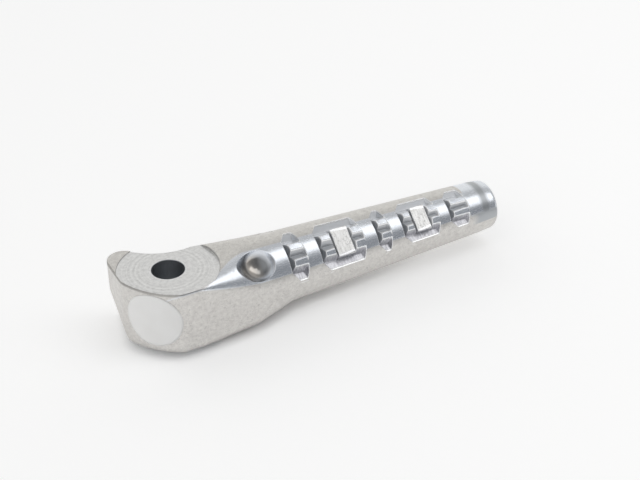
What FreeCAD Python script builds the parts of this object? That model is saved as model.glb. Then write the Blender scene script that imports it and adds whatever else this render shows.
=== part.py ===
import FreeCAD, Part
import math
import os
import Sketcher

# Rear footrest of a motorcycle: one aluminium casting with a pivot boss, a stop heel and a tapered bar
# with a tread. Frame: origin on the pivot bore at the middle of the boss, +X along the bar to its tip,
# +Z up the bore, stop heel at +Y.
NODE = "footrest_casting"

# Driving dimensions in millimetres and degrees
SIZES = {
    "bore_diameter": 8.5,
    "boss_height": 18.0,
    "spot_face_radius": 13.0,
    "upper_skin": 0.15,
    "lower_skin": 1.7,
    "upper_rim": 0.7,
    "lower_rim": 3.2,
    "stop_reach": 12.5,
    "stop_front": 0.8,
    "corner_radius": 21.0,
    "corner_end": 1.5,
    "corner_blend": 4.0,
    "front_reach": 11.75,
    "heel_reach": 13.2,
    "heel_tip_radius": 4.0,
    "bevel_tip_height": 4.0,
    "bevel_foot": 2.2,
    "bevel_steepness": 2.9,
    "relief_station": 7.0,
    "relief_wall": 6.4,
    "neck_start": 4.0,
    "neck_end": 31.0,
    "neck_back": 9.0,
    "neck_back_round": 2.5,
    "neck_back_turn": 8.4,
    "neck_foot_turn": 4.0,
    "bar_offset": 0.8,
    "bar_root_radius": 10.88,
    "bar_tip_radius": 7.07,
    "bar_length": 96.0,
    "nose_length": 5.0,
    "nose_drop": 0.1,
    "nose_round": 1.4,
    "tread_angle": 41.0,
    "tread_root": 20.0,
    "scoop_radius": 5.1,
    "scoop_depth": 3.2,
    "scoop_station": 21.6,
    "scoop_rise": 45.0,
    "ejector_station": 28.8,
    "ejector_angle": 27.0,
    "ejector_diameter": 4.6,
    "ejector_depth": 0.2,
    "tooth_lead": 1.65,
    "tooth_trail": 0.5,
    "tooth_end_slope": 0.55,
    "window_end_run": 1.8,
    "pad_gap": 1.0,
    "pad_draft": 0.18,
    "corner_run": 3.0,
    "root_window_start": 30.0,
    "root_window_length": 5.5,
    "inner_window_start": 39.2,
    "inner_window_length": 13.8,
    "middle_window_start": 56.5,
    "middle_window_length": 4.7,
    "outer_window_start": 64.6,
    "outer_window_length": 12.2,
    "tip_window_start": 79.8,
    "tip_window_length": 6.8,
    "inner_pad_start": 44.35,
    "inner_pad_length": 4.85,
    "outer_pad_start": 69.05,
    "outer_pad_length": 4.25,
}
# How far the tread's floor runs past its first and last window
OVERRUN = 2.0
WINDOWS = ("root", "inner", "middle", "outer", "tip")
PADDED_WINDOWS = ("inner", "outer")

# Tread section as shares of the bar's radius there: height above the axis, or half width across the tread
EDGE_OUT, EDGE_UP = 1.1, 0.783
VALLEY_OUT, VALLEY_UP = 0.45, 0.68
CORE_OUT, CORE_UP = 0.36, 0.76
CLEAR_UP = 1.3
RIDGE_BASE_UP, RIDGE_TOP_UP = 0.6, 1.02
RIDGE_BASE = (-0.311, 0.4915)
RIDGE_TOP = (0.195, 0.273)
PAD_UP = 0.906
PAD_BASE_OUT, PAD_TOP_OUT = 0.46, 0.423
WINDOW_OUT = 0.78
# The axis about which the scoop's tail tips up, so that the tail leans to the back as it rises
SCOOP_TIP_AXIS = (-0.34, -0.94, 0)
# Where the neck's flats and corners end on the round bar, in degrees from the top over the front
ROUND_TURNS = (-10, 0, 90, 100, 170, 190, 260, 280)

doc = FreeCAD.newDocument("footrest")
sheet = doc.addObject("Spreadsheet::Sheet", "sizes")
for row, (alias, number) in enumerate(SIZES.items(), start=1):
    sheet.set(f"A{row}", alias)
    sheet.set(f"B{row}", str(number))
    sheet.setAlias(f"B{row}", alias)
doc.recompute()


class Size:
    """A length with its number and the sheet expression that gives it."""

    def __init__(self, number, text):
        self.number = number
        self.text = text

    def joined(self, other, sign, number):
        other = other if isinstance(other, Size) else Size(other, repr(other))
        return Size(number(self.number, other.number), f"({self.text} {sign} {other.text})")

    def __add__(self, other):
        return self.joined(other, "+", lambda a, b: a + b)

    def __sub__(self, other):
        return self.joined(other, "-", lambda a, b: a - b)

    def __mul__(self, other):
        return self.joined(other, "*", lambda a, b: a * b)

    def __truediv__(self, other):
        return self.joined(other, "/", lambda a, b: a / b)

    def __neg__(self):
        return self * -1


def size(alias):
    return Size(SIZES[alias], f"sizes.{alias}")


def trig(function, angle):
    """The sine or cosine of an angle in degrees."""
    number = getattr(math, function)(math.radians(angle.number))
    return Size(number, f"{function}({angle.text} * 1 deg)")


ZERO = Size(0.0, "0")


def bind(feature, **sizes):
    """Ties the feature's properties to the sheet."""
    for name, value in sizes.items():
        feature.setExpression(name.replace("__", "."), value.text)
    return feature


def part(kind, name, **sizes):
    return bind(doc.addObject(f"Part::{kind}", name), **sizes)


def arc_centre(start, end, radius):
    """Centre of the arc that turns left from start to end, or right for a negative radius."""
    chord = end - start
    middle = (start + end) * 0.5
    left = FreeCAD.Vector(-chord.y, chord.x, 0).normalize()
    rise = math.sqrt(radius ** 2 - (chord.Length / 2) ** 2)
    return middle + left * math.copysign(rise, radius)


def outline(name, corners, arcs=None):
    """A closed sketch through the corners, each a pair of sizes. arcs gives some sides' radii by number."""
    arcs = arcs or {}
    sketch = doc.addObject("Sketcher::SketchObject", name)
    points = [FreeCAD.Vector(x.number, y.number, 0) for x, y in corners]
    ends = []
    for side, start in enumerate(points):
        end = points[(side + 1) % len(points)]
        if side in arcs:
            radius = arcs[side].number
            centre = arc_centre(start, end, radius)
            first, last = (start, end) if radius > 0 else (end, start)
            circle = Part.Circle(centre, FreeCAD.Vector(0, 0, 1), abs(radius))
            angles = [math.atan2(p.y - centre.y, p.x - centre.x) for p in (first, last)]
            sketch.addGeometry(Part.ArcOfCircle(circle, *angles))
            ends.append((1, 2) if radius > 0 else (2, 1))
        else:
            sketch.addGeometry(Part.LineSegment(start, end))
            ends.append((1, 2))
    for side, (x, y) in enumerate(corners):
        before = side - 1 if side else len(corners) - 1
        sketch.addConstraint(Sketcher.Constraint("Coincident", before, ends[before][1], side, ends[side][0]))
        for direction, value in (("DistanceX", x), ("DistanceY", y)):
            number = sketch.addConstraint(
                Sketcher.Constraint(direction, -1, 1, side, ends[side][0], value.number))
            sketch.setExpression(f"Constraints[{number}]", value.text)
    for side, radius in arcs.items():
        number = sketch.addConstraint(Sketcher.Constraint("Radius", side, abs(radius.number)))
        sketch.setExpression(f"Constraints[{number}]", f"abs({radius.text})")
    return sketch


def extruded(name, sketch, length, start=ZERO):
    """The sketch's outline raised along Z by length, from the height start."""
    bind(sketch, Placement__Base__z=start)
    solid = part("Extrusion", name, LengthFwd=length)
    solid.Base = sketch
    solid.Dir = (0, 0, 1)
    solid.DirMode = "Custom"
    solid.Solid = True
    return solid


def turned(feature, axis, angle):
    """Turns a feature about an axis through its origin, by an angle in degrees."""
    feature.Placement.Rotation = FreeCAD.Rotation(FreeCAD.Vector(*axis), angle.number)
    return bind(feature, Placement__Rotation__Angle=angle)


def boolean(kind, name, *shapes):
    joined = doc.addObject(f"Part::{kind}", name)
    if kind == "MultiFuse":
        joined.Shapes = list(shapes)
    else:
        joined.Base, joined.Tool = shapes
    return joined


bar_axis = -size("bar_offset")
half_height = size("boss_height") / 2
boss_top = half_height + size("upper_skin")
boss_bottom = -(half_height + size("lower_skin"))
front_wall = -size("front_reach")
taper = (size("bar_root_radius") - size("bar_tip_radius")) / size("bar_length")


def bar_radius(station):
    return size("bar_root_radius") - taper * station


def rounded_edges(name, base, radius, wanted):
    """Rounds the edges of base that wanted picks out by their ends."""
    doc.recompute()
    picked = doc.addObject("Part::Fillet", name)
    picked.Base = base
    edges = enumerate(base.Shape.Edges, start=1)
    numbers = [number for number, edge in edges if wanted(*edge.Vertexes)]
    picked.Edges = [(number, SIZES[radius], SIZES[radius]) for number in numbers]
    return picked


def on_corner(first, last):
    """The two upright edges where the boss's corner arc meets the stop face and the front wall."""
    return abs(first.Z - last.Z) > 1 and first.X < 0 and first.Y < SIZES["heel_reach"]


def on_rim(first, last):
    """The rims of the stop face, the corner and the front wall, above and below."""
    ahead = max(first.Y, last.Y) < SIZES["stop_front"] + SIZES["corner_blend"]
    at_stop = max(first.X, last.X) < 1e-6 - SIZES["stop_reach"]
    return abs(first.Z - last.Z) < 1e-6 and (ahead or at_stop)


def on_upper_rim(first, last):
    return on_rim(first, last) and first.Z > 0


def on_lower_rim(first, last):
    return on_rim(first, last) and first.Z < 0


def make_boss():
    """The pivot boss as cast: a thick plate with a flat front wall, whose corner clears the bracket."""
    left = -size("stop_reach")
    back = size("heel_reach") + size("heel_tip_radius")
    corners = [
        (left, back),
        (left, size("stop_front")),
        (-size("corner_end"), front_wall),
        (size("neck_start"), front_wall),
        (size("neck_start"), back),
    ]
    plan = outline("boss_outline", corners, {1: size("corner_radius")})
    plate = extruded("boss_plate", plan, boss_top - boss_bottom, boss_bottom)
    blended = rounded_edges("boss_corners", plate, "corner_blend", on_corner)
    upper = rounded_edges("boss_upper_rim", blended, "upper_rim", on_upper_rim)
    return rounded_edges("boss_lower_rim", upper, "lower_rim", on_lower_rim)


def across_bar(name, station, corners, arcs):
    """A closed section square to the bar, its corners given as sideways and upward sizes."""
    section = outline(name, corners, arcs)
    section.Placement.Rotation = FreeCAD.Rotation(FreeCAD.Vector(1, 1, 1), 120)
    return bind(section, Placement__Base__x=station)


def rounded_section(name, station, edges, radii):
    """A rounded block. edges: top, front, bottom, back. radii: top front, bottom front, both back corners."""
    top, front, bottom, back = edges
    top_front, bottom_front, rear = radii
    corners = [
        (back - rear, top),
        (front + top_front, top),
        (front, top - top_front),
        (front, bottom + bottom_front),
        (front + bottom_front, bottom),
        (back - rear, bottom),
        (back, bottom + rear),
        (back, top - rear),
    ]
    return across_bar(name, station, corners, {1: top_front, 3: bottom_front, 5: rear, 7: rear})


def make_neck():
    """The neck: the boss's rounded block runs into the round bar, soonest on the tread's side."""
    first, last = size("neck_start"), size("neck_end")
    root = size("tread_root")
    share = (root - first) / (last - first)
    full, thin = bar_radius(root), bar_radius(last)
    bottom = boss_bottom + (-thin - boss_bottom) * share
    back = size("neck_back") + (bar_axis + thin - size("neck_back")) * share
    block = rounded_section(
        "neck_block", first, (boss_top, front_wall, boss_bottom, size("neck_back")),
        (size("upper_rim"), size("lower_rim"), size("neck_back_round")))
    half_way = rounded_section(
        "neck_half_way", root, (full, bar_axis - full, bottom, back),
        (full, size("neck_foot_turn"), size("neck_back_turn")))
    angles = [math.radians(angle) for angle in ROUND_TURNS]
    around = [(bar_axis - thin * math.sin(angle), thin * math.cos(angle)) for angle in angles]
    round_end = across_bar("neck_round", last, around, dict.fromkeys(range(len(around)), thin))
    return ruled_loft("neck", [block, half_way, round_end])


def ruled_loft(name, sections):
    """A solid with straight lines from each section to the next."""
    loft = doc.addObject("Part::Loft", name)
    loft.Sections = sections
    loft.Solid = True
    loft.Ruled = True
    return loft


def revolved(name, sketch):
    """The sketch, drawn as station and radius, turned about the bar's axis."""
    sketch.Placement.Rotation = FreeCAD.Rotation(FreeCAD.Vector(1, 0, 0), 90)
    solid = doc.addObject("Part::Revolution", name)
    solid.Source = sketch
    solid.Axis = (1, 0, 0)
    solid.Base = (0, 0, 0)
    solid.Angle = 360
    solid.Solid = True
    return bind(solid, Placement__Base__y=bar_axis)


def make_bar():
    """The round tapered bar, with a shallow nose and a rounded end."""
    first, length = size("neck_end"), size("bar_length")
    nose = length - size("nose_length")
    end_radius = bar_radius(length) - size("nose_drop")
    profile = [
        (first, ZERO),
        (length, ZERO),
        (length, end_radius - size("nose_round")),
        (length - size("nose_round"), end_radius),
        (nose, bar_radius(nose)),
        (first, bar_radius(first)),
    ]
    return revolved("bar", outline("bar_profile", profile, {2: size("nose_round")}))


def ridge(name, start, end, side, radius):
    """One tread tooth: a ridge with sloped flanks and hipped ends, at side +1 or -1 of the tread."""
    slope = size("tooth_end_slope")
    spread = radius * (1 - RIDGE_BASE_UP) * slope
    lean = radius * (RIDGE_TOP_UP - 1) * slope
    base = sorted(side * share for share in RIDGE_BASE)
    top = sorted(side * share for share in RIDGE_TOP)
    return wedge(name, (start - spread, end + spread), (start + lean, end - lean), base, top,
                 (RIDGE_BASE_UP, RIDGE_TOP_UP), radius)


def wedge(name, base_run, top_run, base_share, top_share, up, radius):
    """A block with a rectangular base and a smaller rectangular top, its height along Z."""
    block = part(
        "Wedge", name,
        Xmin=base_run[0], Xmax=base_run[1], X2min=top_run[0], X2max=top_run[1],
        Zmin=radius * base_share[0], Zmax=radius * base_share[1],
        Z2min=radius * top_share[0], Z2max=radius * top_share[1],
        Ymin=radius * up[0], Ymax=radius * up[1])
    block.Placement.Rotation = FreeCAD.Rotation(FreeCAD.Vector(1, 0, 0), 90)
    return block


def make_tread_floor():
    """What lies above the tread's floor: two channels that fall towards a core along the middle."""
    first = size("root_window_start") - OVERRUN
    last = size("tip_window_start") + size("tip_window_length") + OVERRUN
    half = [(EDGE_OUT, EDGE_UP), (VALLEY_OUT, VALLEY_UP), (CORE_OUT, CORE_UP)]
    lid = [(-EDGE_OUT, CLEAR_UP), (EDGE_OUT, CLEAR_UP)]
    ring = half + [(-out, up) for out, up in reversed(half)] + lid
    sections = []
    for name, station in (("tread_section_root", first), ("tread_section_tip", last)):
        radius = bar_radius(station)
        corners = [(radius * out, radius * up) for out, up in ring]
        sections.append(across_bar(name, station, corners, {}))
    return ruled_loft("tread_floor", sections)


def make_window(window, start, end, radius):
    """One window's plan, with slanted corners towards the boss, raised through the skin of the bar."""
    shoulder = start + size("corner_run")
    inner, outer = radius * VALLEY_OUT, radius * WINDOW_OUT
    plan = [
        (start, -inner),
        (shoulder, -outer),
        (end, -outer),
        (end, outer),
        (shoulder, outer),
        (start, inner),
    ]
    sketch = outline(f"{window}_window_plan", plan)
    return extruded(f"{window}_window", sketch, size("bar_root_radius") * CLEAR_UP)


def make_standing(window, start, end, radius):
    """What stands in a window: a tooth on each side, or two such pairs with a pad between, and a sloped end."""
    runs = [(start + size("tooth_lead"), end - size("tooth_trail"))]
    standing = []
    if window in PADDED_WINDOWS:
        pad_start = size(f"{window}_pad_start")
        pad_end = pad_start + size(f"{window}_pad_length")
        runs = [(runs[0][0], pad_start - size("pad_gap")), (pad_end + size("pad_gap"), runs[0][1])]
        spread = radius * (PAD_UP - RIDGE_BASE_UP) * size("pad_draft")
        standing.append(wedge(
            f"{window}_pad", (pad_start - spread, pad_end + spread), (pad_start, pad_end),
            (-PAD_BASE_OUT, PAD_BASE_OUT), (-PAD_TOP_OUT, PAD_TOP_OUT), (RIDGE_BASE_UP, PAD_UP), radius))
    standing.append(wedge(
        f"{window}_end", (end - size("window_end_run"), end + OVERRUN), (end, end + OVERRUN),
        (-EDGE_OUT, EDGE_OUT), (-EDGE_OUT, EDGE_OUT), (RIDGE_BASE_UP, 1), radius))
    for count, (tooth_start, tooth_end) in enumerate(runs, start=1):
        for side, place in ((-1, "back"), (1, "front")):
            standing.append(ridge(f"{window}_tooth_{count}_{place}", tooth_start, tooth_end, side, radius))
    return standing


def make_tread():
    """The tread's cut: five windows sunk in the bar, less the teeth and pads that stand in them."""
    windows = []
    standing = []
    for window in WINDOWS:
        start, length = size(f"{window}_window_start"), size(f"{window}_window_length")
        radius = bar_radius(start + length / 2)
        windows.append(make_window(window, start, start + length, radius))
        standing += make_standing(window, start, start + length, radius)
    plans = boolean("MultiFuse", "window_plans", *windows)
    recesses = boolean("Common", "window_recesses", make_tread_floor(), plans)
    tread = boolean("Cut", "tread_cut", recesses, boolean("MultiFuse", "tread_standing", *standing))
    return round_bar(tread, size("tread_angle"))


def round_bar(feature, angle):
    """Turns a feature that was drawn on top of the bar towards the front."""
    return bind(turned(feature, (1, 0, 0), angle), Placement__Base__y=bar_axis)


def make_scoop():
    """The bowl at the root of the tread: deep and round at the bar, rising towards the boss."""
    radius = size("scoop_radius")
    height = bar_radius(size("scoop_station")) + radius - size("scoop_depth")
    place = {"Placement__Base__x": size("scoop_station"), "Placement__Base__z": height}
    ball = part("Sphere", "scoop_ball", Radius=radius, **place)
    tail = part("Cylinder", "scoop_tail", Radius=radius, Height=radius * 4, **place)
    turned(tail, SCOOP_TIP_AXIS, -size("scoop_rise") + 90)
    return round_bar(boolean("MultiFuse", "scoop", ball, tail), size("tread_angle"))


def make_ejector_mark():
    """The shallow round mark that an ejector pin left behind the tread."""
    station, angle = size("ejector_station"), size("ejector_angle")
    floor = bar_radius(station) - size("ejector_depth")
    mark = part(
        "Cylinder", "ejector_mark", Radius=size("ejector_diameter") / 2, Height=size("bar_root_radius"),
        Placement__Base__x=station,
        Placement__Base__y=bar_axis + floor * trig("sin", angle),
        Placement__Base__z=floor * trig("cos", angle))
    return turned(mark, (-1, 0, 0), angle)


def make_relief():
    """The hollow behind the pivot, which runs out over the rounded tip of the stop heel."""
    tip = size("heel_tip_radius")
    tip_x, tip_y = tip - size("stop_reach"), size("heel_reach") - tip
    across = size("relief_station") - tip_x
    rise = tip_y - size("relief_wall")
    depth = size("heel_reach") - size("relief_wall")
    radius = (across * across + rise * rise - tip * tip) / depth / 2
    share = tip / (tip + radius)
    meet_x = tip_x + across * share
    meet_y = tip_y + (radius - rise) * share
    far = size("heel_reach") * 2
    side = size("relief_station") + radius
    corners = [
        (-size("stop_reach"), tip_y),
        (meet_x, meet_y),
        (size("relief_station"), size("relief_wall")),
        (side, size("relief_wall") + radius),
        (side, far * 2),
        (-far, far * 2),
        (-far, tip_y),
    ]
    height = size("boss_height") * 2
    arcs = {0: -tip, 1: radius, 2: radius}
    return extruded("heel_relief", outline("heel_relief_outline", corners, arcs), height, -(height / 2))


def make_heel_bevel():
    """The bevel under the stop heel: it starts high at the heel's tip and runs out at the front corner."""
    tip = size("heel_reach")
    rise = (size("bevel_tip_height") + half_height) / (tip + size("bevel_foot"))
    deep = size("boss_height") * 2
    corners = [
        (tip * 2, size("bevel_tip_height") + rise * tip),
        (-tip, -half_height + rise * (size("bevel_foot") - tip)),
        (-tip, -deep),
        (tip * 2, -deep),
    ]
    sketch = across_bar("heel_bevel_outline", -size("stop_reach"), corners, {})
    bevel = part("Extrusion", "heel_bevel", LengthFwd=deep, LengthRev=size("stop_reach"))
    bevel.Base = sketch
    bevel.DirMode = "Custom"
    bevel.Dir = (1, 0, -1)
    bevel.Solid = True
    return bind(bevel, Dir__z=-size("bevel_steepness"))


def make_pivot_cuts():
    """The pivot bore and the two machined faces around it."""
    length = size("boss_height") * 2
    bore = part("Cylinder", "pivot_bore", Radius=size("bore_diameter") / 2, Height=length,
                Placement__Base__z=-half_height * 2)
    upper = part("Cylinder", "upper_face", Radius=size("spot_face_radius"), Height=length,
                 Placement__Base__z=half_height)
    lower = part("Cylinder", "lower_face", Radius=size("spot_face_radius"), Height=length,
                 Placement__Base__z=-half_height - length)
    return [bore, upper, lower]


raw = boolean("MultiFuse", "raw_casting", make_boss(), make_neck(), make_bar())
cuts = boolean(
    "MultiFuse", "cuts", make_relief(), make_heel_bevel(), make_ejector_mark(), *make_pivot_cuts())
machined = boolean("Cut", "machined_casting", raw, cuts)
scooped = boolean("Cut", "scooped_casting", machined, make_scoop())
casting = boolean("Cut", "casting", scooped, make_tread())
casting.Label = NODE
doc.recompute()

for feature in doc.Objects:
    if {"Invalid", "Error"} & set(feature.State):
        raise RuntimeError(f"{feature.Label} failed: {feature.State}")
if casting.Shape.isNull() or not casting.Shape.isValid() or len(casting.Shape.Solids) != 1:
    raise RuntimeError(f"{NODE} isn't one valid solid")

os.makedirs("parts", exist_ok=True)
casting.Shape.exportStep(f"parts/{NODE}.step")
box = casting.Shape.BoundBox
print(f"{NODE}: volume {casting.Shape.Volume:.0f} mm3")
print(f"box: {box.XLength:.1f} x {box.YLength:.1f} x {box.ZLength:.1f} mm")
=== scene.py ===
# %% [markdown]
# # A motorcycle's rear footrest
#
# The footrest is one aluminium casting. Its boss was drilled and faced for a pivot pin, and the
# strip that a foot meets was buffed bright. So everything the eye sees is one metal in several
# finishes: satin where the die left it, mirror-like where the buffing wheel went, finely ringed
# where the facing cutter went.
# The solid comes from the CAD model. This script adds the finishes, a plain label, the light and
# the camera.

# %% Load the model
import math
import bpy
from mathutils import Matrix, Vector


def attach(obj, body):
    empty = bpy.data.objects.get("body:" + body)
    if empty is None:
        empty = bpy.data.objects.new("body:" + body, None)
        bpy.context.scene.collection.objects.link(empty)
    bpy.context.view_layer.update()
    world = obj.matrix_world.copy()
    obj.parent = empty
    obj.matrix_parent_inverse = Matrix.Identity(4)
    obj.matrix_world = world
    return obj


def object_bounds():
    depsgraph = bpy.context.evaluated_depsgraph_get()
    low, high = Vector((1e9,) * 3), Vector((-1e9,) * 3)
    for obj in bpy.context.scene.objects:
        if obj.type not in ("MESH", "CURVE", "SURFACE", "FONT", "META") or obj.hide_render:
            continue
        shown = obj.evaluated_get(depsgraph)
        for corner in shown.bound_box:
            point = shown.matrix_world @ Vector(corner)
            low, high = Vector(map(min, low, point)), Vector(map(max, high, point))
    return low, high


MM = 0.001
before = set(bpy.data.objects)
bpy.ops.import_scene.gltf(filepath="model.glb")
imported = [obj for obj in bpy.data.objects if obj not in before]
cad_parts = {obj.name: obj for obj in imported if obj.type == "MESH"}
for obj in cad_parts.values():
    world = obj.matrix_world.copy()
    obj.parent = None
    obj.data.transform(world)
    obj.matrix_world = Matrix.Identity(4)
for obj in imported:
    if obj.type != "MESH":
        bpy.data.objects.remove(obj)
cad_low, cad_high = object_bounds()
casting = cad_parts["footrest_casting"]
low_mm, high_mm = ([round(c / MM, 1) for c in corner] for corner in (cad_low, cad_high))
print("casting from", low_mm, "to", high_mm, "mm")

# %% [markdown]
# ## Helpers for materials
#
# Colour charts give sRGB hex values, but the renderer adds light in linear values, so one function
# turns the one into the other. The second function adds a shader node: values in the order of the
# node's sockets or by socket name, each a number or the output of another node, and the node's own
# settings by name. The third starts an empty material.
# A Mix node blends numbers in its sockets 2 and 3, and colours in its sockets 6 and 7.

# %% Helpers
COLOUR_MIX = {"data_type": "RGBA", "output": 2}


def linear(hex_colour):
    """An sRGB hex colour as linear red, green, blue and alpha."""
    channels = [int(hex_colour[i:i + 2], 16) / 255 for i in (1, 3, 5)]
    return [c / 12.92 if c <= 0.04045 else ((c + 0.055) / 1.055) ** 2.4 for c in channels] + [1.0]


def add(tree, kind, *values, sockets=None, output=0, **settings):
    """Adds a shader node, sets it, fills its sockets, and returns one of its outputs."""
    node = tree.nodes.new("ShaderNode" + kind)
    for name, value in settings.items():
        setattr(node, name, value)
    for key, value in [*enumerate(values), *(sockets or {}).items()]:
        if isinstance(value, bpy.types.NodeSocket):
            tree.links.new(value, node.inputs[key])
        else:
            node.inputs[key].default_value = value
    return node.outputs[output] if node.outputs else node


def new_material(name):
    """An empty node material and its tree."""
    material = bpy.data.materials.new(name)
    material.use_nodes = True
    material.node_tree.nodes.clear()
    return material, material.node_tree


# %% [markdown]
# ## Where on the casting
#
# A finish has to know where it is. These places are worked out once, in millimetres, from the
# object's own coordinates: how far along the bar, at what angle around it, how deep under the round
# skin, how far from the bore. The angle is counted from straight up, over the side that the foot
# meets. The sizes are those of the solid.

# %% Places
BAR_AXIS = (0.0, -0.8, 0.0)
BAR_ROOT_RADIUS, BAR_TIP_RADIUS, BAR_LENGTH = 10.88, 7.07, 96.0
ACROSS_BAR, ACROSS_BORE = (0.0, 1.0, 1.0), (1.0, 1.0, 0.0)

aluminium, tree = new_material("die_cast_aluminium")
in_metres = add(tree, "TexCoord", output="Object")
spot = add(tree, "VectorMath", in_metres, sockets={"Scale": 1 / MM}, operation="SCALE")
along, _, up = add(tree, "SeparateXYZ", spot).node.outputs
from_axis = add(tree, "VectorMath", spot, BAR_AXIS, operation="SUBTRACT")
square_to_bar = add(tree, "VectorMath", from_axis, ACROSS_BAR, operation="MULTIPLY")
radius = add(tree, "VectorMath", square_to_bar, operation="LENGTH", output="Value")
_, backward, rise = add(tree, "SeparateXYZ", square_to_bar).node.outputs
forward = add(tree, "Math", backward, -1.0, operation="MULTIPLY")
bearing = add(tree, "Math", forward, rise, operation="ARCTAN2")
around = add(tree, "Math", bearing, operation="DEGREES")
skin = add(tree, "MapRange", along, 0.0, BAR_LENGTH, BAR_ROOT_RADIUS, BAR_TIP_RADIUS, clamp=False)
depth = add(tree, "Math", skin, radius, operation="SUBTRACT")
square_to_bore = add(tree, "VectorMath", spot, ACROSS_BORE, operation="MULTIPLY")
from_bore = add(tree, "VectorMath", square_to_bore, operation="LENGTH", output="Value")
height = add(tree, "Math", up, operation="ABSOLUTE")
print("places on the casting:", len(tree.nodes), "nodes")

# %% [markdown]
# ## Where the cutter went
#
# The facing cutter cut the flat rings around the bore, one on each side of the boss. A painted
# shade darkens the step at the upper ring's edge and a line under its front rim.
# Finishes could be painted by hand on the mesh. Masks are used instead, because they follow the
# sizes of the solid. Each mask is a ramp, and a named pair says where the ramp is 0 and where it is
# 1, in millimetres or degrees. Masks are joined by taking the smaller or the larger of two.

# %% Faced rings and bore
FACE_HEIGHT, FACE_RADIUS, BORE_RADIUS = 9.0, 13.0, 4.25
FACE_LEVEL = (FACE_HEIGHT - 0.08, FACE_HEIGHT - 0.02)
FACE_EDGE = (FACE_RADIUS + 0.06, FACE_RADIUS)
BORE_WALL = (BORE_RADIUS + 0.15, BORE_RADIUS + 0.05)
level = add(tree, "MapRange", height, *FACE_LEVEL)
inside = add(tree, "MapRange", from_bore, *FACE_EDGE)
faced = add(tree, "Math", level, inside, operation="MINIMUM")
as_cast = add(tree, "Math", 1.0, faced, operation="SUBTRACT")
drilled = add(tree, "MapRange", from_bore, *BORE_WALL)
print("faced rings and bore:", len(tree.nodes), "nodes")

# %% Painted shade at the faced ring
RIM_FOOT = (FACE_HEIGHT - 0.75, FACE_HEIGHT - 0.35)
RIM_TOP = (FACE_HEIGHT + 0.06, FACE_HEIGHT + 0.02)
RIM_END = (4.5, 2.5)
STEP_EDGE = (0.14, 0.05)
STEP_FOOT = (FACE_HEIGHT - 0.03, FACE_HEIGHT + 0.03)
# painted shade: a darker line under the faced ring's front rim and in the step at its edge
rim_foot = add(tree, "MapRange", up, *RIM_FOOT)
rim_top = add(tree, "MapRange", up, *RIM_TOP)
rim_height = add(tree, "Math", rim_foot, rim_top, operation="MINIMUM")
rim_end = add(tree, "MapRange", along, *RIM_END)
rim_run = add(tree, "Math", rim_height, rim_end, operation="MINIMUM")
rim = add(tree, "Math", rim_run, as_cast, operation="MINIMUM")
past_ring = add(tree, "Math", from_bore, FACE_RADIUS, operation="SUBTRACT")
off_ring = add(tree, "Math", past_ring, operation="ABSOLUTE")
ring_edge = add(tree, "MapRange", off_ring, *STEP_EDGE)
above_face = add(tree, "MapRange", up, *STEP_FOOT)
step = add(tree, "Math", ring_edge, above_face, operation="MINIMUM")
painted_ring_shade = add(tree, "Math", rim, step, operation="MAXIMUM")
print("dirt at the faced ring:", len(tree.nodes), "nodes")

# %% [markdown]
# ## Where the buffing wheel went
#
# The wheel ran along the tread and made everything bright that stands at the bar's full radius
# there: the lands between the windows and the tops of the teeth. It went over the top of the tip,
# round the bowl at the tread's root, and out over the shoulder, where its track narrows to a point
# at the rim of the faced ring. The bowl shines too, and its colour is a painted shade that is warm
# grey near the boss and darkest on its far wall.
# The track is a strip between two angles, and small depth says what the wheel touched.

# %% Buffed strip
TRACK_BACK, TRACK_FRONT = 14.0, 67.5
SHOULDER_POINT, SHOULDER_ANGLE, SHOULDER_OPENING = 3.6, 51.5, 0.5
FULL_AT_BACK, FULL_AT_FRONT = 20.0, 21.0
BACK_BLEND, FRONT_BLEND = (-1.5, 1.5), (-0.8, 0.8)
BOWL_START, BOWL_MIDDLE, BOWL_END = 13.5, 20.5, 27.5
FLUSH_DEPTH, NEAR_BOSS = (0.40, 0.15), (BOWL_END + 0.3, BOWL_END)
track_back = add(tree, "MapRange", along, SHOULDER_POINT, FULL_AT_BACK,
                 SHOULDER_ANGLE, TRACK_BACK, interpolation_type="SMOOTHSTEP")
track_front = add(tree, "MapRange", along, SHOULDER_POINT, FULL_AT_FRONT,
                  SHOULDER_ANGLE + SHOULDER_OPENING, TRACK_FRONT)
past_back = add(tree, "Math", around, track_back, operation="SUBTRACT")
before_front = add(tree, "Math", track_front, around, operation="SUBTRACT")
under_back = add(tree, "MapRange", past_back, *BACK_BLEND)
over_front = add(tree, "MapRange", before_front, *FRONT_BLEND)
track = add(tree, "Math", under_back, over_front, operation="MINIMUM")
flush = add(tree, "MapRange", depth, *FLUSH_DEPTH)
near_boss = add(tree, "MapRange", along, *NEAR_BOSS)
reached = add(tree, "Math", flush, near_boss, operation="MAXIMUM")
strip = add(tree, "Math", track, reached, operation="MINIMUM")
print("buffed strip:", len(tree.nodes), "nodes")

# %% Buffed tip and bowl
TIP_POLISH, TIP_FOOT, PARTING = 86.7, 70.0, 92.0
TIP_LAND = (TIP_POLISH - 0.3, TIP_POLISH)
TIP_FRONT = (TIP_FOOT + 3.0, TIP_FOOT - 3.0)
TIP_BACK = (-PARTING - 8.0, -PARTING + 8.0)
BOWL_DEPTH, PAST_BOSS = (0.6, 2.2), (BOWL_START, BOWL_START + 1.0)
FAR_WALL = (BOWL_MIDDLE - 1.0, BOWL_MIDDLE + 3.0)
tip_land = add(tree, "MapRange", along, *TIP_LAND)
tip_front = add(tree, "MapRange", around, *TIP_FRONT)
tip_back = add(tree, "MapRange", around, *TIP_BACK)
tip_side = add(tree, "Math", tip_front, tip_back, operation="MINIMUM")
tip = add(tree, "Math", tip_land, tip_side, operation="MINIMUM")
buffed = add(tree, "Math", strip, tip, operation="MAXIMUM")
polished = add(tree, "Math", buffed, as_cast, operation="MINIMUM")
sunk = add(tree, "MapRange", depth, *BOWL_DEPTH)
past_boss = add(tree, "MapRange", along, *PAST_BOSS)
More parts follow.
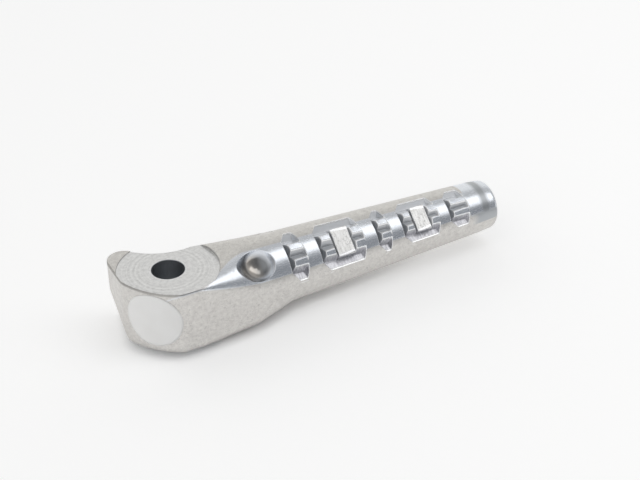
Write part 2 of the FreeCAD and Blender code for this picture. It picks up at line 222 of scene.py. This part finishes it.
bowl_run = add(tree, "Math", past_boss, near_boss, operation="MINIMUM")
bowl = add(tree, "Math", sunk, bowl_run, operation="MINIMUM")
far_wall = add(tree, "MapRange", along, *FAR_WALL)
print("buffed tip and bowl:", len(tree.nodes), "nodes")

# %% [markdown]
# ## Where shoes went, and painted shade at the tip
#
# Shoes rub the two broad pads pale and scuff the outer channels. The rest of each recess is as
# clean as it left the die. At the tip, the side, one band of the nose and the flat end get a darker
# grey as painted shade, and they are less glossy. Wear is made with masks too, so that it stays on
# the pads if their sizes change.

# %% Pads and channels
PAD_MIDDLES, PAD_HALF_LENGTHS, PAD_BLEND = (46.78, 71.18), (2.5, 2.2), 0.1
TREAD_ANGLE, PAD_SIDE = 41.0, (28.5, 27.0)
TREAD_START = (BOWL_END + 1.0, BOWL_END + 1.5)
RECESS_DEPTH, OUTER_SIDE, INNER_SIDE = (0.25, 0.5), (60.0, 64.0), (20.0, 16.0)
pad_runs = []
for middle, half_length in zip(PAD_MIDDLES, PAD_HALF_LENGTHS):
    past_middle = add(tree, "Math", along, middle, operation="SUBTRACT")
    from_middle = add(tree, "Math", past_middle, operation="ABSOLUTE")
    pad_end = (half_length + PAD_BLEND, half_length - PAD_BLEND)
    pad_runs.append(add(tree, "MapRange", from_middle, *pad_end))
either_pad = add(tree, "Math", *pad_runs, operation="MAXIMUM")
past_tread = add(tree, "Math", around, TREAD_ANGLE, operation="SUBTRACT")
off_tread = add(tree, "Math", past_tread, operation="ABSOLUTE")
pad_side = add(tree, "MapRange", off_tread, *PAD_SIDE)
pads = add(tree, "Math", either_pad, pad_side, operation="MINIMUM")
in_tread = add(tree, "MapRange", along, *TREAD_START)
hollow = add(tree, "MapRange", depth, *RECESS_DEPTH)
recess = add(tree, "Math", hollow, in_tread, operation="MINIMUM")
outer_side = add(tree, "MapRange", around, *OUTER_SIDE)
outer_channel = add(tree, "Math", recess, outer_side, operation="MINIMUM")
inner_side = add(tree, "MapRange", around, *INNER_SIDE)
inner_channel = add(tree, "Math", recess, inner_side, operation="MINIMUM")
rubbed = add(tree, "Math", pads, outer_channel, operation="MAXIMUM")
print("pads and channels:", len(tree.nodes), "nodes")

# %% Painted shade on the tip
NOSE_BAND, NOSE_HALF_BAND, BAND_BLEND = 91.8, 1.2, 0.6
BAND_END = (NOSE_HALF_BAND + BAND_BLEND, NOSE_HALF_BAND - BAND_BLEND)
BAND_SIDE = (TIP_FOOT - 6.0, TIP_FOOT + 2.0)
OVER_PARTING = (PARTING + 1.0, PARTING - 1.0)
TIP_SHADE_START = (TIP_POLISH, TIP_POLISH + 2.5)
END_FACE = (BAR_LENGTH - 0.9, BAR_LENGTH - 0.3)
# painted shade: a darker grey on the tip's side band, one band of the nose and the flat end
past_band = add(tree, "Math", along, NOSE_BAND, operation="SUBTRACT")
from_band = add(tree, "Math", past_band, operation="ABSOLUTE")
nose_band = add(tree, "MapRange", from_band, *BAND_END)
band_side = add(tree, "MapRange", around, *BAND_SIDE)
nose_and_side_bands = add(tree, "Math", nose_band, band_side, operation="MAXIMUM")
from_top = add(tree, "Math", around, operation="ABSOLUTE")
over_parting = add(tree, "MapRange", from_top, *OVER_PARTING)
tip_shade_start = add(tree, "MapRange", along, *TIP_SHADE_START)
tip_shade_zone = add(tree, "Math", tip_shade_start, over_parting, operation="MINIMUM")
banded_tip_shade = add(tree, "Math", tip_shade_zone, nose_and_side_bands, operation="MINIMUM")
end_face = add(tree, "MapRange", along, *END_FACE)
tip_painted_shade = add(tree, "Math", banded_tip_shade, end_face, operation="MAXIMUM")
print("brushed tip:", len(tree.nodes), "nodes")

# %% [markdown]
# ## Edges and corners
#
# Wear makes the edges of the windows bright, and a painted shade darkens the deep corners that no
# shoe reaches.
# An edge is found by comparing the true normal with one that is rounded over a fraction of a
# millimetre: on a flat face the two agree, and at an edge they part. A channel's rim is too shallow
# for that, so it is found by its small depth.

# %% Worn edges and painted corner shade
EDGE_ROUND_MM, EDGE_SAMPLES = 0.3, 8
EDGE_BEND, EDGE_DEPTH, CORNER_DEPTH = (0.97, 0.88), (0.5, 0.3), (0.7, 1.0)
LIP_TOP, LIP_FOOT, TREAD_SIDE = (0.04, 0.08), (0.30, 0.22), (48.1, 47.5)
BEFORE_TIP = (TIP_POLISH + 0.2, TIP_POLISH)
edges_rounded = add(tree, "Bevel", EDGE_ROUND_MM * MM, samples=EDGE_SAMPLES)
true_normal = add(tree, "NewGeometry", output="True Normal")
bend = add(tree, "VectorMath", edges_rounded, true_normal, operation="DOT_PRODUCT", output="Value")
bent = add(tree, "MapRange", bend, *EDGE_BEND)
edge = add(tree, "Math", bent, in_tread, operation="MINIMUM")
near_skin = add(tree, "MapRange", depth, *EDGE_DEPTH)
bent_edge = add(tree, "Math", edge, near_skin, operation="MINIMUM")
lip_top = add(tree, "MapRange", depth, *LIP_TOP)
lip_foot = add(tree, "MapRange", depth, *LIP_FOOT)
lip_depth = add(tree, "Math", lip_top, lip_foot, operation="MINIMUM")
before_tip = add(tree, "MapRange", along, *BEFORE_TIP)
tread_run = add(tree, "Math", in_tread, before_tip, operation="MINIMUM")
tread_side = add(tree, "MapRange", off_tread, *TREAD_SIDE)
tread = add(tree, "Math", tread_run, tread_side, operation="MINIMUM")
lip = add(tree, "Math", lip_depth, tread, operation="MINIMUM")
worn_edge = add(tree, "Math", bent_edge, lip, operation="MAXIMUM")
off_pads = add(tree, "Math", 1.0, pads, operation="SUBTRACT")
# painted shade: darker in the deep corners off the pads
low_down = add(tree, "MapRange", depth, *CORNER_DEPTH)
out_of_reach = add(tree, "Math", low_down, off_pads, operation="MINIMUM")
painted_corner_shade = add(tree, "Math", edge, out_of_reach, operation="MINIMUM")
print("edges and corners:", len(tree.nodes), "nodes")

# %% [markdown]
# ## The skin of the metal
#
# Die-cast aluminium leaves the die with a fine pebbled skin, faint mottling and scattered pits.
# Real grains are about a tenth of a millimetre, finer than a pixel here, so they are drawn at about
# 0.3 mm to show. Handling left thin dark scratches. Buffing flattens the grain and leaves a slight
# waviness and hairlines along the stroke. The cutter leaves rings: its real feed marks are also
# finer than a pixel, so they are drawn 0.6 mm apart.
# Noise at these sizes does for all of them, stretched where the mark has a direction.

# %% Grain, pits and scratches
GRAIN_MM, PIT_MM, MOTTLE_MM, CLOUD_MM, SCRATCH_MM = 0.3, 0.35, 1.0, 6.0, 1.25
NOISE_MIDDLE, NOISE_RANGE = 0.5, (0.3, 0.7)
PIT_SHIFT, PIT_LEVEL = (0.07, -0.02), (0.36, 0.27)
SCRATCH_STRETCH, SCRATCH_LEVEL = (0.35, 1.6, 1.1), (0.006, 0.0)
grain = add(tree, "TexNoise", spot,
            sockets={"Scale": 1 / GRAIN_MM, "Detail": 3.0, "Roughness": 0.6})
mottle = add(tree, "TexNoise", spot,
             sockets={"Scale": 1 / MOTTLE_MM, "Detail": 5.0, "Roughness": 0.7})
cloud = add(tree, "TexNoise", spot, sockets={"Scale": 1 / CLOUD_MM, "Detail": 4.0})
pit_noise = add(tree, "TexNoise", spot, sockets={"Scale": 1 / PIT_MM, "Detail": 1.5})
pit_shift = add(tree, "MapRange", cloud, *NOISE_RANGE, *PIT_SHIFT)
pit_depth = add(tree, "Math", pit_noise, pit_shift, operation="SUBTRACT")
pits = add(tree, "MapRange", pit_depth, *PIT_LEVEL)
skewed = add(tree, "VectorMath", spot, SCRATCH_STRETCH, operation="MULTIPLY")
scratch_noise = add(tree, "TexNoise", skewed,
                    sockets={"Scale": 1 / SCRATCH_MM, "Detail": 2.0, "Distortion": 0.6})
past_line = add(tree, "Math", scratch_noise, NOISE_MIDDLE, operation="SUBTRACT")
off_line = add(tree, "Math", past_line, operation="ABSOLUTE")
scratches = add(tree, "MapRange", off_line, *SCRATCH_LEVEL)
print("grain, pits and scratches:", len(tree.nodes), "nodes")

# %% Marks of wheel, brush and cutter
HAIRLINES_PER_MM, STREAK_MM, WAVE_MM, RING_MM = 6.0, 1.0, 2.5, 0.6
HAIRLINE_STRETCH, STREAK_STRETCH = (0.12, 1.0, 1.0), (2.2, 0.5, 0.5)
stroke = add(tree, "VectorMath", spot, HAIRLINE_STRETCH, operation="MULTIPLY")
hairlines = add(tree, "TexNoise", stroke, sockets={"Scale": HAIRLINES_PER_MM, "Detail": 3.0})
comb = add(tree, "VectorMath", spot, STREAK_STRETCH, operation="MULTIPLY")
streaks = add(tree, "TexNoise", comb,
              sockets={"Scale": 1 / STREAK_MM, "Detail": 4.0, "Roughness": 0.65})
waves = add(tree, "TexNoise", spot, sockets={"Scale": 1 / WAVE_MM, "Detail": 1.0})
ring_place = add(tree, "Math", from_bore, 1 / RING_MM, operation="MULTIPLY")
rings = add(tree, "TexNoise", noise_dimensions="1D",
            sockets={"W": ring_place, "Scale": 1.0, "Detail": 2.0})
print("marks of wheel, brush and cutter:", len(tree.nodes), "nodes")

# %% Relief
PIT_RELIEF, HAIRLINE_RELIEF, RING_SHARE, FACED_RELIEF = 0.9, 0.03, 0.45, 0.4
RELIEF_MM, RELIEF_STRENGTH = 0.05, 0.35
pit_drop = add(tree, "Math", pits, PIT_RELIEF, operation="MULTIPLY")
cast_relief = add(tree, "Math", grain, pit_drop, operation="SUBTRACT")
buffed_relief = add(tree, "Math", hairlines, HAIRLINE_RELIEF, waves, operation="MULTIPLY_ADD")
cutter_marks = add(tree, "Math", rings, RING_SHARE, mottle, operation="MULTIPLY_ADD")
faced_relief = add(tree, "Math", cutter_marks, FACED_RELIEF, operation="MULTIPLY")
unbuffed = add(tree, "Mix", faced, sockets={2: cast_relief, 3: faced_relief})
relief = add(tree, "Mix", polished, sockets={2: unbuffed, 3: buffed_relief})
normal = add(tree, "Bump", sockets={
    "Strength": RELIEF_STRENGTH, "Distance": RELIEF_MM * MM, "Height": relief,
    "Normal": edges_rounded})
print("relief:", len(tree.nodes), "nodes")

# %% [markdown]
# ## Colour and gloss
#
# All finishes share one metal, so its shader is fully metallic with the default IOR, and only
# colour and roughness change. A rough casting traps light in its skin, so it looks darker and
# slightly warmer than the buffed metal. Some finishes vary along a pattern, so they get a tone
# between two colours. Then the finishes are laid over the satin skin one by one, like coats of
# paint. They could be written out node by node, but one list is easier to read and to change.

# %% Tones that vary
MOTTLE_RANGE, CUTTER_RANGE, STREAK_RANGE = (0.28, 0.72), (0.5, 0.95), (0.35, 0.6)
mottling = add(tree, "MapRange", mottle, *MOTTLE_RANGE)
cutter_tint = add(tree, "MapRange", cutter_marks, *CUTTER_RANGE)
streak_tint = add(tree, "MapRange", streaks, *STREAK_RANGE)
# the bowl's tone is a painted shade, darker towards its far wall
satin, ring_tone, rub_tone, scuff_tone, bowl_painted_shade = [
    add(tree, "Mix", pattern, sockets={6: linear(first), 7: linear(second)}, **COLOUR_MIX)
    for pattern, first, second in (
        (mottling, "#C8C5C2", "#E2E0DC"),
        (cutter_tint, "#CECECE", "#F0F0F0"),
        (streak_tint, "#DAD9D6", "#FAF9F7"),
        (streak_tint, "#B4B4BA", "#DADADE"),
        (far_wall, "#D2CBC2", "#7C7E80"))]
print("tones:", len(tree.nodes), "nodes")

# %% Finishes laid over the satin skin
specks = add(tree, "Math", pits, rubbed, operation="MINIMUM")
# where each finish lies, the share that it covers there, and its colour
finishes = (
    (pits, 0.3, linear("#8A8886")),
    (scratches, 0.45, linear("#706F6C")),
    (faced, 0.9, ring_tone),
    # painted shade under the faced ring's front rim and in its step
    (painted_ring_shade, 0.5, linear("#5E5C58")),
    (recess, 1.0, linear("#C6C8CB")),
    (inner_channel, 1.0, linear("#E0E2E5")),
    (polished, 1.0, linear("#E6EAF0")),
    (pads, 0.85, rub_tone),
    (outer_channel, 1.0, scuff_tone),
    (specks, 0.5, linear("#6E6D6B")),
    # painted shade in the deep corners
    (painted_corner_shade, 0.8, linear("#5E5F62")),
    (worn_edge, 1.0, linear("#F6F7F8")),
    # painted shade on the tip's side, nose band and end
    (tip_painted_shade, 1.0, linear("#B4B7BA")),
    # painted shade in the bowl, darkest on its far wall
    (bowl, 1.0, bowl_painted_shade),
    (drilled, 1.0, linear("#C4C7CB")))
colour = satin
for mask, share, tone in finishes:
    cover = add(tree, "Math", mask, share, operation="MULTIPLY")
    colour = add(tree, "Mix", cover, sockets={6: colour, 7: tone}, **COLOUR_MIX)
print(len(finishes), "finishes laid over the satin skin")

# %% Gloss and shader
SATIN_ROUGHNESS, POLISH_ROUGHNESS = (0.30, 0.42), (0.19, 0.29)
RUBBED_ROUGHNESS, EDGE_ROUGHNESS, BOWL_ROUGHNESS = 0.36, 0.25, 0.19
satin_gloss = add(tree, "MapRange", grain, *NOISE_RANGE, *SATIN_ROUGHNESS)
polish_gloss = add(tree, "MapRange", hairlines, *NOISE_RANGE, *POLISH_ROUGHNESS)
unpolished = add(tree, "Math", rubbed, tip_painted_shade, operation="MAXIMUM")
gloss = satin_gloss
for mask, roughness in ((polished, polish_gloss), (unpolished, RUBBED_ROUGHNESS),
                        (worn_edge, EDGE_ROUGHNESS), (bowl, BOWL_ROUGHNESS)):
    gloss = add(tree, "Mix", mask, sockets={2: gloss, 3: roughness})
metal = add(tree, "BsdfPrincipled", sockets={
    "Base Color": colour, "Metallic": 1.0, "Roughness": gloss, "Normal": normal})
add(tree, "OutputMaterial", metal)
casting.data.materials[0] = aluminium
print("die-cast aluminium:", len(tree.nodes), "nodes")

# %% [markdown]
# ## The label
#
# A round label of coated paper sits on the front corner of the boss. It is bare: smooth and white,
# with a slight sheen and a faint unevenness. It could be painted on the metal, but a real sheet has
# an edge that catches the light. It follows the curve of the wall, so it is a disc laid on ring by
# ring: each point looks for the metal straight behind it and stops a hair above it.

# %% Label shape
CORNER_CENTRE, CORNER_RADIUS, CLEAR_OF_WALL = (7.33, 7.11), 21.0, 5.0
LABEL_RADIUS, LABEL_HEIGHT, LABEL_DIRECTION = 7.7, 0.5, math.radians(-136.0)
PAPER_LIFT, PAPER_THICKNESS = 0.10, 0.08
RINGS, SPOKES = 12, 72


def laid_on_wall(sideways, upward):
    """The place on the boss's corner that far from the label's middle, lifted off the metal."""
    direction = LABEL_DIRECTION + sideways / CORNER_RADIUS
    outward = Vector((math.cos(direction), math.sin(direction), 0))
    middle = Vector((*CORNER_CENTRE, LABEL_HEIGHT + upward))
    start = middle + outward * (CORNER_RADIUS + CLEAR_OF_WALL)
    hit, metal_spot, facing, _ = casting.ray_cast(start * MM, -outward)
    if not hit:
        raise RuntimeError("the label hangs over the edge of the wall")
    return metal_spot + facing * PAPER_LIFT * MM


points, faces = [laid_on_wall(0, 0)], []
for ring in range(1, RINGS + 1):
    reach = LABEL_RADIUS * ring / RINGS
    for spoke in range(SPOKES):
        turn = 2 * math.pi * spoke / SPOKES
        points.append(laid_on_wall(reach * math.cos(turn), reach * math.sin(turn)))
for spoke in range(SPOKES):
    after = (spoke + 1) % SPOKES
    faces.append((0, 1 + spoke, 1 + after))
    for ring in range(RINGS - 1):
        inner, outer = 1 + ring * SPOKES, 1 + (ring + 1) * SPOKES
        faces.append((inner + spoke, outer + spoke, outer + after, inner + after))
print("label disc:", len(points), "points,", len(faces), "faces")

# %% Label sheet
label_mesh = bpy.data.meshes.new("round_label")
label_mesh.from_pydata(points, [], faces)
label_mesh.shade_smooth()
label = bpy.data.objects.new("round_label", label_mesh)
bpy.context.scene.collection.objects.link(label)
sheet = label.modifiers.new("paper", "SOLIDIFY")
sheet.thickness = PAPER_THICKNESS * MM
sheet.offset = -1
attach(label, "root")
print("label sheet:", PAPER_THICKNESS, "mm thick")

# %% Label paper
FIBRE_MM, STAIN_MM, FIBRE_RELIEF_MM = 0.8, 5.0, 0.04
paper, tree = new_material("coated_paper")
in_metres = add(tree, "TexCoord", output="Object")
spot = add(tree, "VectorMath", in_metres, sockets={"Scale": 1 / MM}, operation="SCALE")
fibre = add(tree, "TexNoise", spot, sockets={"Scale": 1 / FIBRE_MM, "Detail": 4.0})
stain = add(tree, "TexNoise", spot, sockets={"Scale": 1 / STAIN_MM, "Detail": 3.0})
tone = add(tree, "Mix", stain, sockets={6: linear("#F0EFED"), 7: linear("#F8F8F7")}, **COLOUR_MIX)
uneven = add(tree, "Bump", sockets={
    "Strength": 0.2, "Distance": FIBRE_RELIEF_MM * MM, "Height": fibre})
coat = add(tree, "BsdfPrincipled", sockets={
    "Base Color": tone, "Roughness": 0.4, "IOR": 1.5, "Normal": uneven})
add(tree, "OutputMaterial", coat)
label_mesh.materials.append(paper)
print("label paper:", len(tree.nodes), "nodes")

# %% [markdown]
# ## The table
#
# The footrest lies on a matt white table, one large square. Light alone would leave it grey, and
# more light would bleach the casting. So the table is lifted to white with a little glow, only for
# what the camera and mirror-like metal see of it. The glow fades within a few millimetres of the
# casting, which paints a darker contact shadow at its foot.

# %% Table
HALF_TABLE, TABLE_GAP_MM = 1.5, 0.05
table_mesh = bpy.data.meshes.new("table")
corners = [(x * HALF_TABLE, y * HALF_TABLE, 0) for x, y in ((-1, -1), (1, -1), (1, 1), (-1, 1))]
table_mesh.from_pydata(corners, [], [(0, 1, 2, 3)])
table = bpy.data.objects.new("table", table_mesh)
table.location.z = cad_low.z - TABLE_GAP_MM * MM
bpy.context.scene.collection.objects.link(table)
print("table at", round(table.location.z / MM, 2), "mm")

# %% Tabletop
SHADOW_REACH_MM, SHADOW_SAMPLES, SHADOW_FALL, WHITE_LIFT = 3.0, 8, 2.0, 0.22
tabletop, tree = new_material("white_tabletop")
camera_ray = add(tree, "LightPath", output="Is Camera Ray")
mirror_ray = add(tree, "LightPath", output="Is Glossy Ray")
seen = add(tree, "Math", camera_ray, mirror_ray, operation="MAXIMUM")
matt_white = add(tree, "BsdfDiffuse", linear("#FCFCFC"))
# the glow fades where the casting occludes the table: a painted contact shadow
openness = add(tree, "AmbientOcclusion", sockets={"Distance": SHADOW_REACH_MM * MM},
               samples=SHADOW_SAMPLES, output="AO")
open_air = add(tree, "Math", openness, SHADOW_FALL, operation="POWER")
lift = add(tree, "Math", open_air, WHITE_LIFT, operation="MULTIPLY")
glow = add(tree, "Emission", linear("#FFFFFF"), lift)
lifted = add(tree, "AddShader", matt_white, glow)
add(tree, "OutputMaterial", add(tree, "MixShader", seen, matt_white, lifted))
table_mesh.materials.append(tabletop)
print("tabletop:", len(tree.nodes), "nodes")

# %% [markdown]
# ## Room and light
#
# Polished metal shows its surroundings, so they matter as much as the metal. A white backdrop
# stands behind the footrest, and one bright panel hangs above, a little to the front and right.
# Between panel and backdrop the ceiling is grey, and towards the viewer the room is darker. These
# give the bands along the buffed strip. A window at the front left lights the label.
# The room is a sky with colours by direction, which is quicker than real walls. Each direction is a
# unit vector, so its parts run from -1 to 1.

# %% Room
BACKDROP_FRONT, BACKDROP_TOP, VIEWER_SIDE = (0.15, 0.5), (0.84, 0.64), (-0.3, -0.75)
WINDOW_SIDE, WINDOW_FRONT = (0.05, -0.55), (0.2, -0.2)
world = bpy.data.worlds.new("studio")
bpy.context.scene.world = world
world.use_nodes = True
tree = world.node_tree
tree.nodes.clear()
direction = add(tree, "TexCoord", output="Generated")
rightward, away, upward = add(tree, "SeparateXYZ", direction).node.outputs
behind = add(tree, "MapRange", away, *BACKDROP_FRONT)
low = add(tree, "MapRange", upward, *BACKDROP_TOP)
backdrop = add(tree, "Math", behind, low, operation="MULTIPLY")
viewer_side = add(tree, "MapRange", away, *VIEWER_SIDE)
left_side = add(tree, "MapRange", rightward, *WINDOW_SIDE, interpolation_type="SMOOTHSTEP")
in_front = add(tree, "MapRange", away, *WINDOW_FRONT)
window = add(tree, "Math", left_side, in_front, operation="MULTIPLY")
camera_ray = add(tree, "LightPath", output="Is Camera Ray")
shown = linear("#BCBCBC")
for mask, tone in ((viewer_side, "#8E9093"), (window, "#FFFFFF"),
                   (backdrop, "#F2F2F0"), (camera_ray, "#FFFFFF")):
    shown = add(tree, "Mix", mask, sockets={6: shown, 7: linear(tone)}, **COLOUR_MIX)
add(tree, "OutputWorld", add(tree, "Background", shown))
print("room:", len(tree.nodes), "nodes")

# %% Panel
PANEL_DIRECTION, PANEL_DISTANCE = Vector((0.46, -0.27, 0.84)).normalized(), 0.8
PANEL_LENGTH, PANEL_WIDTH, PANEL_WATTS = 0.9, 0.38, 1.05
panel = bpy.data.lights.new("overhead_panel", "AREA")
panel.shape = "RECTANGLE"
panel.size, panel.size_y = PANEL_LENGTH, PANEL_WIDTH
panel.energy = PANEL_WATTS
panel_holder = bpy.data.objects.new("overhead_panel", panel)
panel_holder.location = (cad_low + cad_high) / 2 + PANEL_DIRECTION * PANEL_DISTANCE
panel_holder.rotation_mode = "QUATERNION"
panel_holder.rotation_quaternion = PANEL_DIRECTION.to_track_quat("Z", "X")
bpy.context.scene.collection.objects.link(panel_holder)
print("panel of", PANEL_WATTS, "W")

# %% [markdown]
# ## Camera
#
# The camera stands where the ellipse of the bore, the run of the bar and the outline all fall where
# they should: about 0.33 m away, 34 degrees above the table, with a long lens. It could be moved by
# eye, but a solved place also gives the sizes of the part.

# %% Camera
SENSOR_MM, LENS_MM, NEAREST = 36.0, 73.125, 0.01
VIEWER_MM, VIEWER_LOOKS = Vector((-93.3, -251.55, 197.11)), Vector((0.3955, 0.7284, -0.5594))
camera = bpy.data.cameras.new("camera")
camera.sensor_width = SENSOR_MM
camera.lens = LENS_MM
camera.clip_start = NEAREST
viewer = bpy.data.objects.new("camera", camera)
viewer.location = VIEWER_MM * MM
viewer.rotation_mode = "QUATERNION"
viewer.rotation_quaternion = VIEWER_LOOKS.to_track_quat("-Z", "Y")
bpy.context.scene.collection.objects.link(viewer)
bpy.context.scene.camera = viewer
bpy.context.scene.view_settings.view_transform = "Standard"
print("camera", round(viewer.location.length / MM), "mm from the bore")
